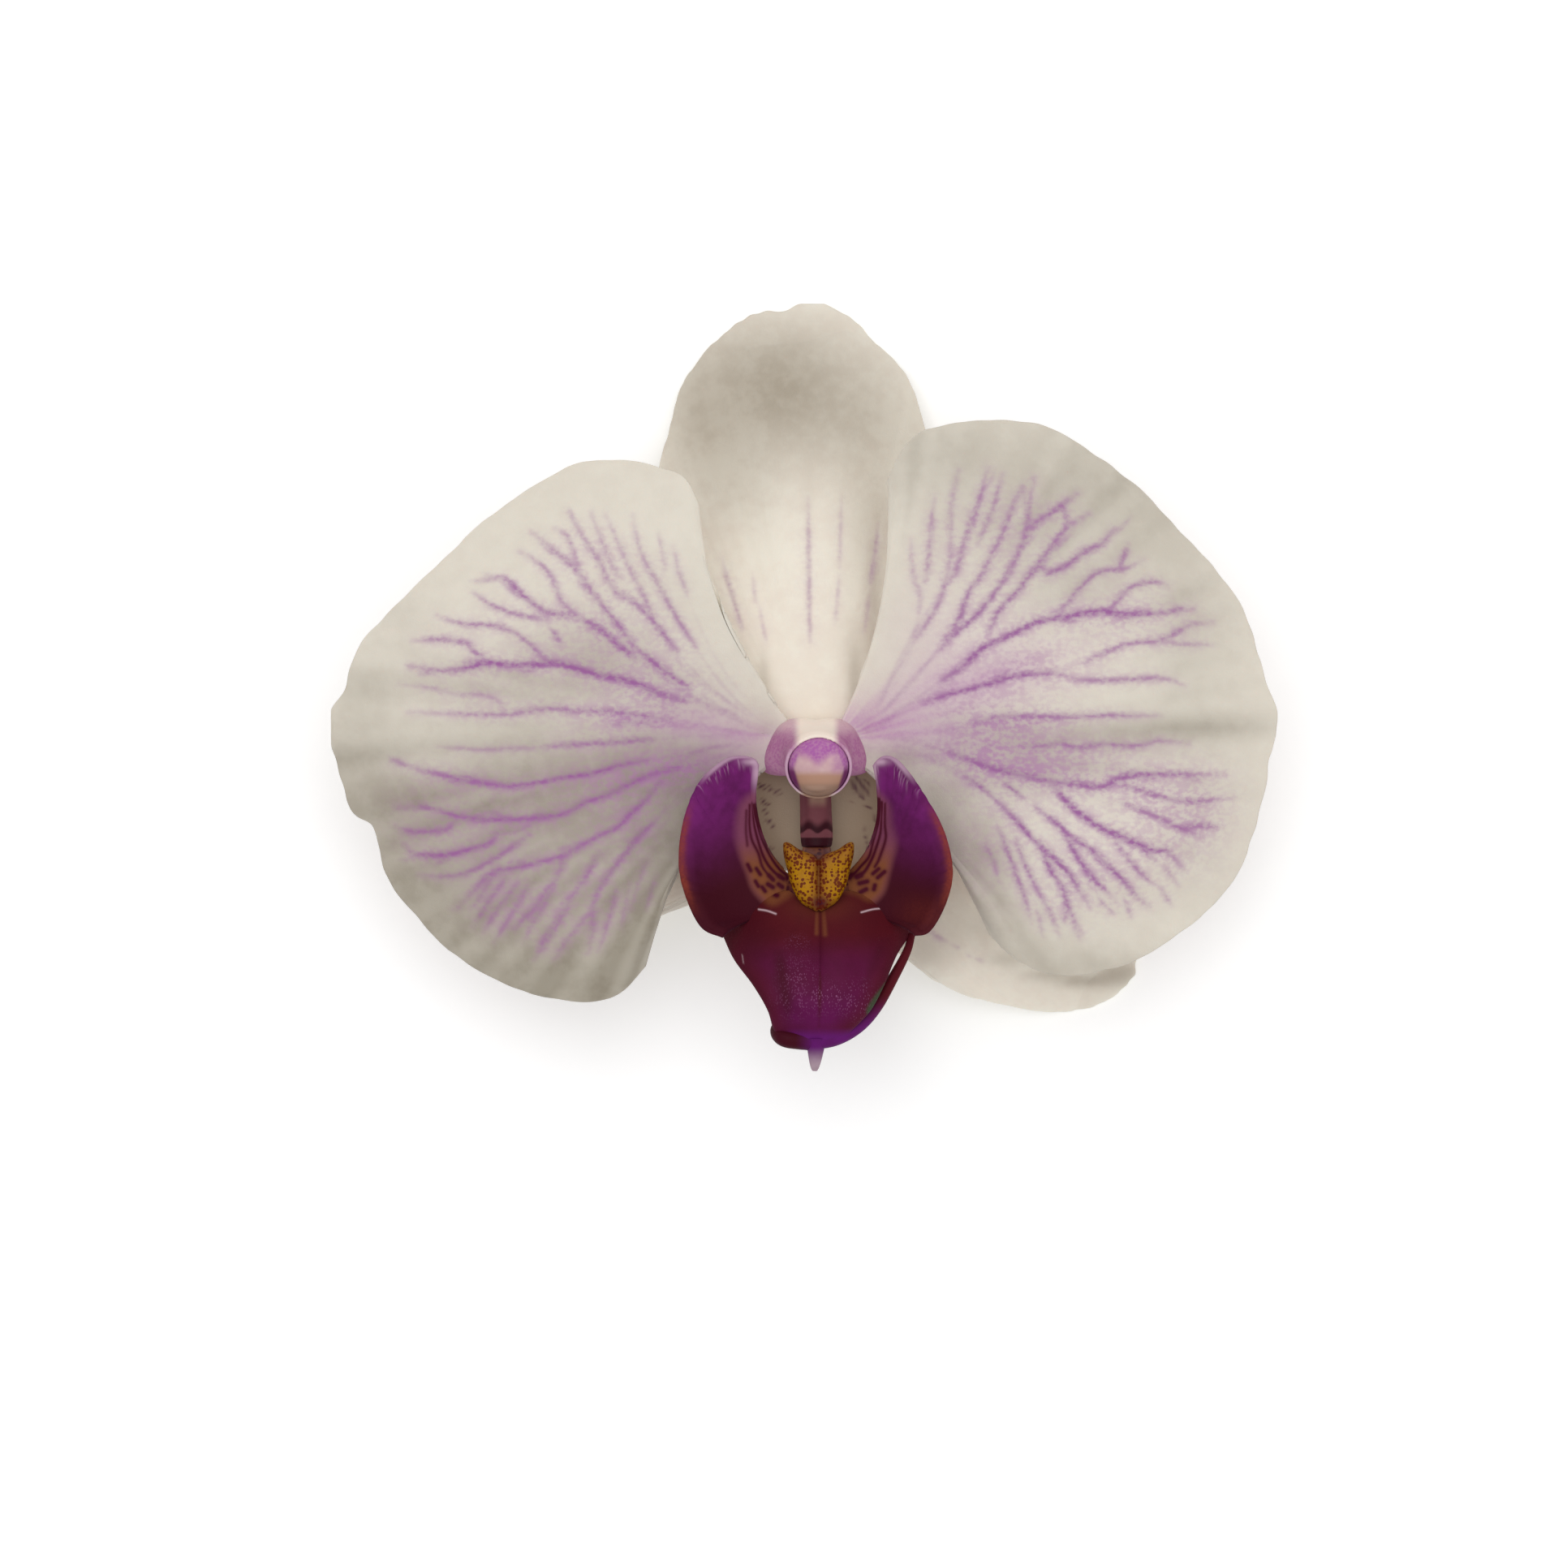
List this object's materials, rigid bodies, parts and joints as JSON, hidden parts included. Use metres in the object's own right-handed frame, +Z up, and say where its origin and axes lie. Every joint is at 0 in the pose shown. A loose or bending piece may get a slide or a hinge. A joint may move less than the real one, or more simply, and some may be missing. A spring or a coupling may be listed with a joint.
{
  "type": "moth orchid bloom",
  "caption": "Open moth orchid bloom, as picked with a short stalk and lying face up: pale veined petals and sepals round a dark purple lip with a yellow callus.",
  "frame": {"origin": "on the surface that the bloom lies on, under the middle of its bounding box", "axes": "+Z up out of the face of the bloom, +Y towards the top sepal, +X towards the viewer's right of the face"},
  "size_m": [0.0956, 0.0776, 0.0231],
  "materials": {
    "sepal": "satin",
    "petal": "satin",
    "lip": "satin",
    "callus": "gloss",
    "column": "satin",
    "anther_cap": "satin",
    "pollinarium": "gloss",
    "stalk": "satin"
  },
  "bodies": {
    "root": {"dorsal_sepal": "sepal", "lateral_sepal_left": "sepal", "lateral_sepal_right": "sepal", "petal_left": "petal", "petal_right": "petal", "lip": "lip", "callus": "callus", "column": "column", "anther_cap": "anther_cap", "pollinarium": "pollinarium", "pedicel": "stalk"}
  },
  "joints": []
}
